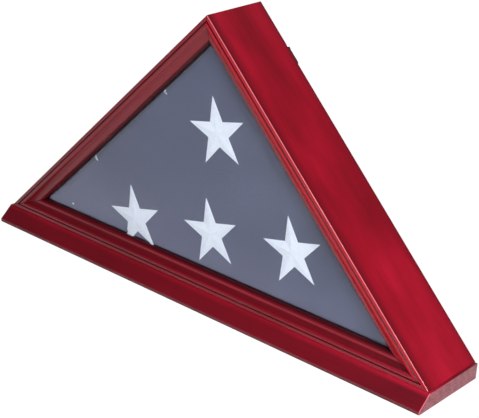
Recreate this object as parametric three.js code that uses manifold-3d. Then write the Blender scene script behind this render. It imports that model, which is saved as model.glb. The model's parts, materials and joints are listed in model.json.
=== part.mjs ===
// Folded flag display case: a deep right-angled triangular frame on a moulded plinth, with the flag behind glass.
// Millimetres, +Z up, X to the viewer's right, Y from the front face towards the back.
// The origin is the centre of the plinth's underside, level with the front face of the frame.

import * as THREE from 'three';
import { mergeVertices } from 'three/addons/utils/BufferGeometryUtils.js';
import Module from 'manifold-3d';

// ---- driving dimensions ----
const HALF_SPAN = 325;          // half of the triangle's bottom edge, which is also its height
const CASE_DEPTH = 89.5;        // front face to back edge
const BASE_HEIGHT = 19;         // the plinth's stock, and the level of the triangle's bottom edge
const BASE_OVERHANG = 2.6;      // the plinth past each tip of the triangle
const BASE_FORWARD = 17;        // the plinth's nose in front of the frame
const GAP = 0.3;                // between pieces that touch

const BOARD = 14;               // thickness of the side boards
const SIGHT_INSET = 23.2;       // outer edge to the opening
const LIP_DEPTH = 10.6;         // front face to the seat of the glass
const REBATE_WIDTH = 5;         // the step that the back panel drops into
const REBATE_DEPTH = 5;
const EDGE_ROUND = 1.2;

const GLASS_THICK = 2.4;
const GLASS_INSET = BOARD + 0.8;
const STOP_WIDE = 5.2;          // glass stop, measured inwards from the board
const STOP_DEEP = 7;
const PANEL_THICK = 4;
const PANEL_INSET = BOARD - REBATE_WIDTH + 0.6;

const FLAG_SLOPE_INSET = BOARD + STOP_WIDE + 0.8;
const FLAG_FRONT = LIP_DEPTH + GAP + GLASS_THICK + 0.7;
const FLAG_BACK = 80;
const FLAG_CORNER = 7;

const BUTTON_WIDE = 8;
const BUTTON_LONG = 26;
const BUTTON_THICK = 2.5;
const BUTTON_HOLE = 2.1;
const BUTTON_INSET = 4.5;       // outer face to the pivot
const BUTTON_FROM_APEX = 61.5;  // along each slope
const BUTTON_FROM_MIDDLE = 150; // along the bottom
const BUTTON_SCREW_LONG = 15;
const BUTTON_SCREW_R = 1.5;

const BRAD_R = 0.6;
const BRAD_TIP = 6;             // how near the brad's point comes to the outer face
const V_NAIL_LEG = 4;
const V_NAIL_THICK = 0.9;
const V_NAIL_DEEP = 10;

const BASE_SCREW_X = [-240, -80, 80, 240];
const BASE_SCREW_Y = CASE_DEPTH / 2;
const BASE_SCREW_R = 1.9;
const BASE_SCREW_HEAD_R = 4;
const BASE_SCREW_HEAD_AT = 5.2;
const BASE_SCREW_TIP = BASE_HEIGHT + 11;

const SLOPE = HALF_SPAN * Math.SQRT2;
const APEX_HALF_ANGLE = Math.PI / 4;
const TIP_HALF_ANGLE = Math.PI / 8;
const ROUND = 24;               // sides of a turned piece

const wasm = await Module();
wasm.setup();

// ---- materials ----
const finish = (color, roughness, metalness = 0, more = {}) =>
  new THREE.MeshStandardMaterial({ color, roughness, metalness, ...more });
const lacquer = () => finish(0x7d0d22, 0.25);
const rawWood = () => finish(0xb58a60, 0.8);
const hardboard = () => finish(0x5a4030, 0.85);
const nickel = () => finish(0xb9b6ae, 0.35, 1);
const steel = () => finish(0x8d8f92, 0.45, 1);
const cloth = () => finish(0x2b3350, 0.95);
const clearGlass = () => finish(0xdfe8ea, 0.05, 0, { transparent: true, opacity: 0.3 });

// ---- cutting solids ----
function solid(geometry) {
  const bare = geometry.clone();
  bare.deleteAttribute('normal');
  bare.deleteAttribute('uv');
  const merged = mergeVertices(bare, 1e-4);
  return new wasm.Manifold(new wasm.Mesh({
    numProp: 3,
    vertProperties: new Float32Array(merged.attributes.position.array),
    triVerts: new Uint32Array(merged.index.array),
  }));
}

function surface(body) {
  const mesh = body.getMesh();
  const geometry = new THREE.BufferGeometry();
  geometry.setAttribute('position', new THREE.BufferAttribute(new Float32Array(mesh.vertProperties), 3));
  geometry.setIndex(new THREE.BufferAttribute(new Uint32Array(mesh.triVerts), 1));
  geometry.computeVertexNormals();
  return geometry;
}

const cut = (geometry, tools) => surface(tools.reduce((body, tool) => body.subtract(solid(tool)), solid(geometry)));

// ---- shapes that the pieces share ----
// A flat piece: an outline in X and Z, standing between two depths.
function plate(shape, front, back, curveSegments = 12) {
  const geometry = new THREE.ExtrudeGeometry(shape, { depth: back - front, bevelEnabled: false, curveSegments });
  return geometry.rotateX(Math.PI / 2).translate(0, back, 0);
}

// A straight stick: a section in depth and inset, run along X.
const alongX = new THREE.Matrix4().makeBasis(
  new THREE.Vector3(0, 1, 0), new THREE.Vector3(0, 0, 1), new THREE.Vector3(1, 0, 0));
function stick(section, length, curveSegments = 5) {
  const geometry = new THREE.ExtrudeGeometry(section, { depth: length, bevelEnabled: false, curveSegments });
  return geometry.applyMatrix4(alongX);
}

// Mitres both ends of a stick, so that each end plane leans by its half angle from the outer edge.
function mitre(geometry, length, startAngle, endAngle) {
  const place = geometry.attributes.position;
  for (let i = 0; i < place.count; i++) {
    const inset = place.getZ(i);
    const atStart = place.getX(i) < length / 2;
    const angle = atStart ? startAngle : endAngle;
    const back = inset / Math.tan(angle) + GAP / 2 / Math.sin(angle);
    place.setX(i, atStart ? back : length - back);
  }
  return geometry;
}

// The triangle inset from the outer faces, with its sharp corners cut off square.
function triangle(bottomInset, slopeInset, cornerCut) {
  const foot = BASE_HEIGHT + bottomInset;
  const half = HALF_SPAN - bottomInset - slopeInset * Math.SQRT2;
  const shape = new THREE.Shape();
  const run = cornerCut * Math.SQRT1_2;
  shape.moveTo(-half + 2 * run, foot);
  shape.lineTo(half - 2 * run, foot);
  shape.lineTo(half - run, foot + run);
  shape.lineTo(run, foot + half - run);
  shape.lineTo(-run, foot + half - run);
  shape.lineTo(-half + run, foot + run);
  shape.closePath();
  return shape;
}

const upright = (radius, x, front, back, z) =>
  new THREE.CylinderGeometry(radius, radius, back - front, ROUND).translate(x, (front + back) / 2, z);
const inward = (radius, x, y, from, to) =>
  new THREE.CylinderGeometry(radius, radius, to - from, ROUND / 2).rotateX(Math.PI / 2).translate(x, y, (from + to) / 2);

// ---- the frame's moulding ----
// Section of a side: X is depth from the front, Y is inset from the outer face.
// From the outer edge inwards the front shows a flat, a quirk, a bead, a cove, a fillet and a bevel.
function railSection() {
  const s = new THREE.Shape();
  s.moveTo(2 * EDGE_ROUND, 0);
  s.lineTo(CASE_DEPTH - EDGE_ROUND / 2, 0);
  s.lineTo(CASE_DEPTH, EDGE_ROUND / 2);
  s.lineTo(CASE_DEPTH, BOARD - REBATE_WIDTH);
  s.lineTo(CASE_DEPTH - REBATE_DEPTH, BOARD - REBATE_WIDTH);
  s.lineTo(CASE_DEPTH - REBATE_DEPTH, BOARD);
  s.lineTo(LIP_DEPTH, BOARD);
  s.lineTo(LIP_DEPTH, SIGHT_INSET);
  s.lineTo(8.2, SIGHT_INSET);
  s.lineTo(4.8, 19.6);                              // bevel
  s.lineTo(4.5, 16.2);                              // fillet
  s.quadraticCurveTo(3.9, 12.9, 1.6, 10.6);         // cove
  s.quadraticCurveTo(0, 9.7, 0, 7.6);               // bead, inner half
  s.quadraticCurveTo(0, 5.5, 1.1, 5.1);             // bead, outer half
  s.lineTo(1.1, 4.4);                               // quirk
  s.lineTo(0.3, 3.8);
  s.lineTo(1, EDGE_ROUND);                          // flat, falling outwards
  s.quadraticCurveTo(1.2, 0, 2 * EDGE_ROUND, 0);
  return s;
}

function stopSection() {
  const front = LIP_DEPTH + GAP + GLASS_THICK + GAP;
  const outer = BOARD + GAP;
  const s = new THREE.Shape();
  s.moveTo(front, outer);
  s.lineTo(front + STOP_DEEP, outer);
  s.lineTo(front + STOP_DEEP, outer + STOP_WIDE - 1.5);
  s.lineTo(front + STOP_DEEP - 1.5, outer + STOP_WIDE);
  s.lineTo(front, outer + STOP_WIDE);
  s.closePath();
  return s;
}

// ---- small fittings ----
// Turn button: a flat bar with round ends, turning on a screw near one end. Its arm points along +X.
function turnButton() {
  const r = BUTTON_WIDE / 2;
  const far = BUTTON_LONG - BUTTON_WIDE;
  const s = new THREE.Shape();
  s.absarc(0, 0, r, Math.PI / 2, Math.PI * 1.5, false);
  s.absarc(far, 0, r, -Math.PI / 2, Math.PI / 2, false);
  s.closePath();
  const hole = new THREE.Path();
  hole.absarc(0, 0, BUTTON_HOLE, 0, Math.PI * 2, true);
  s.holes.push(hole);
  const front = CASE_DEPTH + GAP;
  return plate(s, front, front + BUTTON_THICK);
}

// Pan-head screw that the turn button swings on, pointing into the board's back edge.
function buttonScrew() {
  const seat = CASE_DEPTH + GAP + BUTTON_THICK + GAP;
  const tip = seat - BUTTON_SCREW_LONG;
  const headR = 3.2;
  const profile = [
    [0, tip], [BUTTON_SCREW_R, tip + 3], [BUTTON_SCREW_R, seat], [headR, seat], [headR, seat + 0.7],
    [headR * 0.85, seat + 1.3], [headR * 0.5, seat + 1.65], [0, seat + 1.75],
  ];
  return new THREE.LatheGeometry(profile.map(([r, y]) => new THREE.Vector2(r, y)), ROUND);
}

// Countersunk screw that holds the plinth to the frame, driven upwards from a counterbore.
function baseScrew() {
  const neck = BASE_SCREW_HEAD_AT + 3;
  const profile = [
    [0, BASE_SCREW_HEAD_AT], [BASE_SCREW_HEAD_R, BASE_SCREW_HEAD_AT], [BASE_SCREW_R, neck],
    [BASE_SCREW_R, BASE_SCREW_TIP - 4], [0, BASE_SCREW_TIP],
  ];
  return new THREE.LatheGeometry(profile.map(([r, y]) => new THREE.Vector2(r, y)), ROUND).rotateX(Math.PI / 2);
}

// V-nail: two short steel legs that draw a mitre together. Its point is at the origin, and it opens along +X.
function vNailShape(thick, leg) {
  const half = thick * Math.SQRT1_2;
  const reach = leg * Math.SQRT1_2;
  const s = new THREE.Shape();
  s.moveTo(-half, 0);
  s.lineTo(reach - half / 2, -reach - half / 2);
  s.lineTo(reach + half / 2, -reach + half / 2);
  s.lineTo(half, 0);
  s.lineTo(reach + half / 2, reach - half / 2);
  s.lineTo(reach - half / 2, reach + half / 2);
  s.closePath();
  return s;
}

// Where a V-nail sits in a side's own frame: on the mitre line, opening inwards.
function vNailPlace(geometry, corner, halfAngle, direction) {
  const x = BUTTON_INSET / Math.tan(halfAngle);
  return geometry
    .rotateY(direction > 0 ? -halfAngle : halfAngle - Math.PI)
    .translate(corner + direction * x, 0, BUTTON_INSET);
}

const group = new THREE.Group();
const piece = (name, geometry, material, parent = group) => {
  const mesh = new THREE.Mesh(geometry, material);
  mesh.name = name;
  parent.add(mesh);
  return mesh;
};

// ---- one side of the frame ----
// Each side has its own frame: X along its outer edge, Y the depth, Z the inset from the outer face.
function side({ name, nail, corner, turn, length, startAngle, endAngle, buttons }) {
  const frame = new THREE.Group();
  frame.position.set(corner[0], 0, corner[1]);
  frame.rotation.y = turn;
  group.add(frame);

  const stopFront = LIP_DEPTH + GAP + GLASS_THICK + GAP;
  const bradY = stopFront + STOP_DEEP / 2;
  const bradX = [0.27, 0.73].map((share) => share * length);
  const bradTop = BOARD + GAP + STOP_WIDE - 0.2;
  const bradHoles = () => bradX.map((x) => inward(BRAD_R + GAP, x, bradY, BRAD_TIP - GAP, bradTop + 2));

  const nailFront = CASE_DEPTH - V_NAIL_DEEP;
  const nailSlot = (at, angle, direction) => vNailPlace(
    plate(vNailShape(V_NAIL_THICK + 2 * GAP, V_NAIL_LEG + GAP), nailFront - GAP, CASE_DEPTH + 1), at, angle, direction);
  const screwHoles = buttons.map((b) => upright(
    BUTTON_SCREW_R + GAP, b.at, CASE_DEPTH - BUTTON_SCREW_LONG + 2, CASE_DEPTH + 1, BUTTON_INSET));
  const baseHoles = name === 'bottom'
    ? BASE_SCREW_X.map((x) => inward(BASE_SCREW_R + GAP, x + HALF_SPAN, BASE_SCREW_Y, -1, BASE_SCREW_TIP - BASE_HEIGHT + 1))
    : [];

  piece(`${name}_rail`, cut(mitre(stick(railSection(), length), length, startAngle, endAngle), [
    ...bradHoles(), ...screwHoles, ...baseHoles,
    nailSlot(0, startAngle, 1), nailSlot(length, endAngle, -1),
  ]), lacquer(), frame);

  piece(`glass_stop_${name}`, cut(mitre(stick(stopSection(), length), length, startAngle, endAngle), bradHoles()),
    rawWood(), frame);
  bradX.forEach((x, i) => piece(`stop_brad_${name}_${i + 1}`, inward(BRAD_R, x, bradY, BRAD_TIP, bradTop), steel(), frame));

  const nailGeometry = plate(vNailShape(V_NAIL_THICK, V_NAIL_LEG), nailFront, CASE_DEPTH - GAP);
  piece(`v_nail_${nail}`, vNailPlace(nailGeometry, 0, startAngle, 1), steel(), frame);

  for (const b of buttons) {
    const bar = piece(`turn_button_${b.name}`, turnButton(), nickel(), frame);
    bar.position.set(b.at, 0, BUTTON_INSET);
    bar.rotation.y = b.arm > 0 ? 0 : Math.PI;
    piece(`button_screw_${b.name}`, buttonScrew(), nickel(), frame).position.set(b.at, 0, BUTTON_INSET);
  }
}

side({
  name: 'bottom', nail: 'left', corner: [-HALF_SPAN, BASE_HEIGHT], turn: 0, length: 2 * HALF_SPAN,
  startAngle: TIP_HALF_ANGLE, endAngle: TIP_HALF_ANGLE,
  buttons: [
    { name: 'bottom_left', at: HALF_SPAN - BUTTON_FROM_MIDDLE, arm: 1 },
    { name: 'bottom_right', at: HALF_SPAN + BUTTON_FROM_MIDDLE, arm: -1 },
  ],
});
side({
  name: 'right', nail: 'right', corner: [HALF_SPAN, BASE_HEIGHT], turn: -Math.PI * 0.75, length: SLOPE,
  startAngle: TIP_HALF_ANGLE, endAngle: APEX_HALF_ANGLE,
  buttons: [{ name: 'right', at: SLOPE - BUTTON_FROM_APEX, arm: -1 }],
});
side({
  name: 'left', nail: 'apex', corner: [0, BASE_HEIGHT + HALF_SPAN], turn: Math.PI * 0.75, length: SLOPE,
  startAngle: APEX_HALF_ANGLE, endAngle: TIP_HALF_ANGLE,
  buttons: [{ name: 'left', at: BUTTON_FROM_APEX, arm: 1 }],
});

// ---- plinth ----
// One board under the frame. Its front falls forwards in a shallow cove to a thin rounded nose.
function baseSection() {
  const top = BASE_HEIGHT - GAP;
  const s = new THREE.Shape();
  s.moveTo(-BASE_FORWARD + 1.4, 0);
  s.lineTo(CASE_DEPTH, 0);
  s.lineTo(CASE_DEPTH, top);
  s.lineTo(0.6, top);
  s.quadraticCurveTo(-0.2, top, -0.8, top - 0.5);
  s.quadraticCurveTo(-9, top - 7.3, -BASE_FORWARD, 4.4);
  s.lineTo(-BASE_FORWARD, 1.4);
  s.absarc(-BASE_FORWARD + 1.4, 1.4, 1.4, Math.PI, Math.PI * 1.5, false);
  return s;
}
const baseLength = 2 * (HALF_SPAN + BASE_OVERHANG);
const counterbore = BASE_SCREW_HEAD_AT + 3 + GAP;
piece('base_plinth', cut(stick(baseSection(), baseLength, 6).translate(-baseLength / 2, 0, 0), [
  ...BASE_SCREW_X.map((x) => inward(BASE_SCREW_HEAD_R + 1, x, BASE_SCREW_Y, -1, counterbore)),
  ...BASE_SCREW_X.map((x) => inward(BASE_SCREW_R + GAP, x, BASE_SCREW_Y, counterbore - 1, BASE_HEIGHT + 1)),
]), lacquer());
BASE_SCREW_X.forEach((x, i) => {
  piece(`base_screw_${i + 1}`, baseScrew(), steel()).position.set(x, BASE_SCREW_Y, 0);
});

// ---- glass, back panel and flag ----
const glassFront = LIP_DEPTH + GAP;
piece('glass_pane', plate(triangle(GLASS_INSET, GLASS_INSET, 4), glassFront, glassFront + GLASS_THICK), clearGlass());

const panelFront = CASE_DEPTH - REBATE_DEPTH + 0.4;
piece('back_panel', plate(triangle(PANEL_INSET, PANEL_INSET, 5), panelFront, panelFront + PANEL_THICK), hardboard());

// The folded bundle stands on the bottom board, and is stepped at the front to clear the bottom glass stop.
const stepBack = LIP_DEPTH + 2 * GAP + GLASS_THICK + STOP_DEEP + 0.6;
const flagFront = plate(triangle(FLAG_SLOPE_INSET, FLAG_SLOPE_INSET, FLAG_CORNER), FLAG_FRONT, stepBack + 8);
const flagBack = plate(triangle(BOARD + 0.4, FLAG_SLOPE_INSET, FLAG_CORNER), stepBack, FLAG_BACK);
piece('folded_flag', surface(solid(flagFront).add(solid(flagBack))), cloth());

export default group;
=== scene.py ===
import json
import math

import bmesh
import bpy
from mathutils import Matrix, Vector, noise
from mathutils.bvhtree import BVHTree


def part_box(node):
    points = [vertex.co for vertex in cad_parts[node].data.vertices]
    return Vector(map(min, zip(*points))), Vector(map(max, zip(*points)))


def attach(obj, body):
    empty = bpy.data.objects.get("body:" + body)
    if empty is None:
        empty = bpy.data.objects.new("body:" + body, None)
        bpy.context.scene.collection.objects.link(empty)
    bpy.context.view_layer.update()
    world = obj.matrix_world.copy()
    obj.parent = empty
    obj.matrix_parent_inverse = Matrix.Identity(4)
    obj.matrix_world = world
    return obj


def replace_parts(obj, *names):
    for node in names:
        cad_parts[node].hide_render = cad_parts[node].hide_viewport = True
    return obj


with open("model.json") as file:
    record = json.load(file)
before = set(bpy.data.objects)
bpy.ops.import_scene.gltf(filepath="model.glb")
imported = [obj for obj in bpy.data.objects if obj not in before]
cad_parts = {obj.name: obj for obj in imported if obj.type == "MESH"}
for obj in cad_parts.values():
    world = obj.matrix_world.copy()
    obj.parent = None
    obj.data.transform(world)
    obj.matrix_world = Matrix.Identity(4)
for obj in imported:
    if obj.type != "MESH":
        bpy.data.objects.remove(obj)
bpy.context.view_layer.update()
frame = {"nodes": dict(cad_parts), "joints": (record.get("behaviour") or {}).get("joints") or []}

scene = bpy.context.scene
scene.view_settings.view_transform = "Standard"
mm = 0.001

# ---- Camera ----
# A long lens looks down on the case from its right, tipped a little to one side. It stands off, across and up from
# the origin by shares of half the frame's span.
bottom_low, bottom_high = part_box("bottom_rail")
MITRE_GAP = 0.15 * mm
TIP_ANGLE, APEX_ANGLE = math.radians(45), math.radians(90)
half_span = bottom_high.x + MITRE_GAP / math.sin(TIP_ANGLE / 2)
level = bottom_low.z
depth = bottom_high.y
CAMERA_AZIMUTH, CAMERA_ELEVATION, CAMERA_ROLL = 40.219, 23.543, 2.965
CAMERA_DISTANCE = 4.9983 * half_span
CAMERA_ACROSS, CAMERA_UP = 0.1593 * half_span, 0.3332 * half_span
LENS, SENSOR = 104.9, 36.0

turn = Matrix.Rotation(math.radians(CAMERA_AZIMUTH), 3, "Z")
tilt = Matrix.Rotation(math.radians(90 - CAMERA_ELEVATION), 3, "X")
roll = Matrix.Rotation(math.radians(CAMERA_ROLL), 3, "Z")
camera_turn = turn @ tilt @ roll
camera = bpy.data.objects.new("camera", bpy.data.cameras.new("camera"))
camera.data.lens, camera.data.sensor_width = LENS, SENSOR
camera.data.clip_start, camera.data.clip_end = 0.05, 50
camera.matrix_world = (Matrix.Translation(camera_turn @ Vector((CAMERA_ACROSS, CAMERA_UP, CAMERA_DISTANCE)))
                       @ camera_turn.to_4x4())
scene.collection.objects.link(camera)
scene.camera = camera

# ---- Frame rails ----
# Three lengths of one deep moulding, mitred at the apex and at both tips. From the outer edge inwards its front
# shows a flat, a quirk, a bead, a cove, a fillet and a bevel down to the glass. Cherry stain under a gloss lacquer.
sight_inset = bottom_high.z - level
RAIL_BOARD, REBATE_WIDE, REBATE_DEEP = 14 * mm, 5 * mm, 5 * mm
LIP_DEEP = 10.6 * mm
ARRIS = 0.9 * mm
# Painted shade on the stain of the left and bottom rails, more in their coves; none on the right rail.
SIDE_PAINTED_SHADE = {"bottom": 0.4, "right": 0.0, "left": 0.55}
COVE_PAINTED_SHADE = {"bottom": 0.4, "right": 0.0, "left": 0.1}
MITRE_ARRIS = 0.22 * mm
SHARP = math.radians(30)
STREAK_SHARE = 0.2
# The darkest stain takes the painted shade and the darker tone; the pale pair are painted light on the right rail's
# front and a painted highlight along its arris.
DARKEST_TONE_AND_SHADE, STAIN_DARK = (0.05, 0.0006, 0.004, 1), (0.19, 0.0015, 0.0085, 1)
STAIN_RED, STAIN_BRIGHT = (0.34, 0.0026, 0.0165, 1), (0.50, 0.0062, 0.031, 1)
STAIN_PAINTED_LIGHT, PAINTED_ARRIS_HIGHLIGHT = (0.62, 0.0045, 0.022, 1), (0.72, 0.20, 0.245, 1)
slope = half_span * math.sqrt(2)
SIDES = {
    "bottom": (Vector((-half_span, 0, level)), 0, 2 * half_span, TIP_ANGLE, TIP_ANGLE),
    "right": (Vector((half_span, 0, level)), -135, slope, TIP_ANGLE, APEX_ANGLE),
    "left": (Vector((0, 0, level + half_span)), 135, slope, APEX_ANGLE, TIP_ANGLE),
}


def side_place(side):
    """From a side's own frame, X along its outer edge, Y depth and Z inset, to where it stands."""
    corner, degrees = SIDES[side][:2]
    return Matrix.Translation(corner) @ Matrix.Rotation(math.radians(degrees), 4, "Y")


def bend(start, control, end, steps=8):
    """Points on a smooth bend from start towards control and round to end, without the start itself."""
    a, b, c = Vector(start), Vector(control), Vector(end)
    return [a.lerp(b, t).lerp(b.lerp(c, t), t) for t in (i / steps for i in range(1, steps + 1))]


def pushed_out(bm, face, along):
    """Extrudes a face along a vector into a solid."""
    pushed = bmesh.ops.extrude_face_region(bm, geom=[face])
    bmesh.ops.translate(bm, vec=along, verts=[v for v in pushed["geom"] if isinstance(v, bmesh.types.BMVert)])
    bmesh.ops.recalc_face_normals(bm, faces=bm.faces)
    return bm


def rounded(bm, edges, width, segments=2):
    """Rounds the edges given."""
    bmesh.ops.bevel(bm, geom=edges, offset=width, offset_type="OFFSET", segments=segments, profile=0.5,
                    affect="EDGES", material=-1, clamp_overlap=True)


def stick(section, length, tone_and_painted_light):
    """A closed section, given as depth and inset in millimetres, run along X, with each point's darker tone, painted
    shade and painted light.
    """
    bm = bmesh.new()
    shade = bm.verts.layers.float.new("tone_and_painted_light")
    ring = [bm.verts.new((0, p[0] * mm, p[1] * mm)) for p in section]
    for v, p in zip(ring, section):
        v[shade] = tone_and_painted_light(*p)
    return pushed_out(bm, bm.faces.new(ring), (length, 0, 0))


def mitre(bm, corner, angle, direction):
    """Cuts one end along its mitre plane and softens the arris of the cut."""
    half = angle / 2
    normal = Vector((-direction * math.sin(half), 0, math.cos(half)))
    cut = bmesh.ops.bisect_plane(
        bm, geom=[*bm.verts, *bm.edges, *bm.faces], dist=1e-7, clear_outer=True,
        plane_co=Vector((corner, 0, 0)) - normal * MITRE_GAP, plane_no=normal)
    rim = [e for e in cut["geom_cut"] if isinstance(e, bmesh.types.BMEdge)]
    bmesh.ops.contextual_create(bm, geom=rim)
    bmesh.ops.recalc_face_normals(bm, faces=bm.faces)
    rounded(bm, rim, MITRE_ARRIS)


def soften(bm, width, segments=2):
    """Rounds every sharp edge."""
    rounded(bm, [e for e in bm.edges if len(e.link_faces) == 2 and e.calc_face_angle(0) > SHARP], width, segments)


def made(name, bm, material, body, stands_for=(), place=None, crease=32):
    """Turns a bmesh into a finished piece that rides on a body and stands for CAD nodes."""
    if place is not None:
        bmesh.ops.transform(bm, matrix=place, verts=bm.verts)
    for face in bm.faces:
        face.smooth = True
    for edge in bm.edges:
        edge.smooth = len(edge.link_faces) == 2 and edge.calc_face_angle(0) < math.radians(crease)
    mesh = bpy.data.meshes.new(name)
    bm.to_mesh(mesh)
    bm.free()
    piece = bpy.data.objects.new(name, mesh)
    scene.collection.objects.link(piece)
    for m in material if isinstance(material, (list, tuple)) else [material]:
        mesh.materials.append(m)
    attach(piece, body)
    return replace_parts(piece, *stands_for)


def group(name, inputs, outputs):
    """A shader node group with named inputs and outputs."""
    tree = bpy.data.node_groups.new(name, "ShaderNodeTree")
    for label, kind, value in inputs:
        socket = tree.interface.new_socket(label, in_out="INPUT", socket_type=kind)
        socket.default_value = value
    for label, kind in outputs:
        tree.interface.new_socket(label, in_out="OUTPUT", socket_type=kind)
    return tree, tree.nodes.new("NodeGroupInput"), tree.nodes.new("NodeGroupOutput")


def node(tree, kind, links=None, **settings):
    """A node with its settings, and its inputs either linked or set."""
    made_node = tree.nodes.new(kind)
    for key, value in settings.items():
        setattr(made_node, key, value)
    for key, value in (links or {}).items():
        if isinstance(value, bpy.types.NodeSocket):
            tree.links.new(value, made_node.inputs[key])
        else:
            made_node.inputs[key].default_value = value
    return made_node


def ramp(tree, fac, stops):
    """A colour ramp through the stops given as (place, colour)."""
    made_node = node(tree, "ShaderNodeValToRGB", {"Fac": fac})
    elements = made_node.color_ramp.elements
    while len(elements) < len(stops):
        elements.new(0.5)
    for element, (place, colour) in zip(elements, stops):
        element.position, element.color = place, colour
    return made_node.outputs["Color"]


def new_material(name):
    """A material with its node tree and its Principled shader."""
    material = bpy.data.materials.new(name)
    material.use_nodes = True
    return material, material.node_tree, material.node_tree.nodes["Principled BSDF"]


def wood_grain():
    """Long streaks and slow clouding in a wood, from coordinates whose X runs along the grain."""
    tree, ins, outs = group("wood_grain", [
        ("Vector", "NodeSocketVector", (0, 0, 0)), ("Fine", "NodeSocketFloat", 900.0),
        ("Cloud", "NodeSocketFloat", 15.0)],
        [("Streak", "NodeSocketFloat"), ("Clouding", "NodeSocketFloat")])
    stretch = node(tree, "ShaderNodeMapping", {"Vector": ins.outputs["Vector"], "Scale": (0.018, 1, 1)})
    streak = node(tree, "ShaderNodeTexNoise", {
        "Vector": stretch.outputs["Vector"], "Scale": ins.outputs["Fine"], "Detail": 4.0, "Roughness": 0.62,
        "Distortion": 0.4})
    slow = node(tree, "ShaderNodeMapping", {"Vector": ins.outputs["Vector"], "Scale": (0.35, 1, 1)})
    cloud = node(tree, "ShaderNodeTexNoise", {
        "Vector": slow.outputs["Vector"], "Scale": ins.outputs["Cloud"], "Detail": 3.0, "Roughness": 0.5})
    tree.links.new(streak.outputs["Fac"], outs.inputs["Streak"])
    tree.links.new(cloud.outputs["Fac"], outs.inputs["Clouding"])
    return tree


def lacquer(name, degrees):
    """Stained wood under clear gloss: clouds and soft streaks, darkened by darker tone and painted shade, paled by
    painted light and a painted arris highlight, and a level film.
    """
    material, tree, shader = new_material(name)
    place = node(tree, "ShaderNodeTexCoord")
    along = node(tree, "ShaderNodeMapping", {
        "Vector": place.outputs["Object"], "Rotation": (0, -math.radians(degrees), 0)}, vector_type="POINT")
    wood = node(tree, "ShaderNodeGroup", node_tree=WOOD_GRAIN)
    tree.links.new(along.outputs["Vector"], wood.inputs["Vector"])
    mixed = node(tree, "ShaderNodeMix", {"Factor": STREAK_SHARE}, data_type="FLOAT")
    tree.links.new(wood.outputs["Clouding"], mixed.inputs[2])
    tree.links.new(wood.outputs["Streak"], mixed.inputs[3])
    colour = ramp(tree, mixed.outputs[0], [(0.34, STAIN_DARK), (0.50, STAIN_RED), (0.66, STAIN_BRIGHT)])
    # The point value darkens the stain towards near black where darker tone and shade are painted; below 0 it paints
    # light on the stain and a highlight along the arris.
    tone_and_light_attribute = node(tree, "ShaderNodeAttribute", attribute_name="tone_and_painted_light")
    patchy = node(tree, "ShaderNodeMath", {0: tone_and_light_attribute.outputs["Fac"], 1: wood.outputs["Clouding"]}, operation="MULTIPLY")
    deeper = node(tree, "ShaderNodeMath", {0: patchy.outputs[0], 1: 1.7}, operation="MULTIPLY", use_clamp=True)
    tinted = node(tree, "ShaderNodeMix", {"Factor": deeper.outputs[0]}, data_type="RGBA")
    tree.links.new(colour, tinted.inputs[6])
    tinted.inputs[7].default_value = DARKEST_TONE_AND_SHADE
    painted_light_amount = node(tree, "ShaderNodeMath", {0: tone_and_light_attribute.outputs["Fac"], 1: -1.0}, operation="MULTIPLY", use_clamp=True)
    share = node(tree, "ShaderNodeMath", {0: painted_light_amount.outputs[0], 1: 2.5}, operation="MULTIPLY", use_clamp=True)
    wear_and_painted_light = node(tree, "ShaderNodeMix", {"Factor": share.outputs[0]}, data_type="RGBA")
    tree.links.new(tinted.outputs[2], wear_and_painted_light.inputs[6])
    tree.links.new(ramp(tree, painted_light_amount.outputs[0], [(0.5, STAIN_PAINTED_LIGHT), (0.95, PAINTED_ARRIS_HIGHLIGHT)]), wear_and_painted_light.inputs[7])
    tree.links.new(wear_and_painted_light.outputs[2], shader.inputs["Base Color"])
    peel = node(tree, "ShaderNodeTexNoise", {
        "Vector": place.outputs["Object"], "Scale": 260.0, "Detail": 1.0, "Roughness": 0.4})
    film = node(tree, "ShaderNodeBump", {"Height": peel.outputs["Fac"], "Strength": 0.05, "Distance": 0.25 * mm})
    tree.links.new(film.outputs["Normal"], shader.inputs["Normal"])
    shader.inputs["Roughness"].default_value = 0.45
    shader.inputs["Specular IOR Level"].default_value = 0.25
    # The coat is dulled where the painted shade is deepest, and thinner where light is painted.
    dull = node(tree, "ShaderNodeMapRange", {
        "Value": tone_and_light_attribute.outputs["Fac"], "From Min": 0.6, "From Max": 1.0, "To Min": 1.0, "To Max": 0.1})
    coat_under_painted_light = node(tree, "ShaderNodeMapRange", {
        "Value": tone_and_light_attribute.outputs["Fac"], "From Min": -0.4, "From Max": 0.0, "To Min": 0.4, "To Max": 1.0})
    coat = node(tree, "ShaderNodeMath", {0: dull.outputs["Result"], 1: coat_under_painted_light.outputs["Result"]},
                operation="MULTIPLY")
    tree.links.new(coat.outputs[0], shader.inputs["Coat Weight"])
    shader.inputs["Coat Roughness"].default_value = 0.1
    shader.inputs["Coat IOR"].default_value = 1.5
    return material


WOOD_GRAIN = wood_grain()
RAIL_LACQUER = {side: lacquer(f"cherry_lacquer_{side}", SIDES[side][1]) for side in SIDES}

inner = RAIL_BOARD / mm
land = (RAIL_BOARD - REBATE_WIDE) / mm
back, floor_of_rebate, lip, sight = depth / mm, (depth - REBATE_DEEP) / mm, LIP_DEEP / mm, sight_inset / mm


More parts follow.
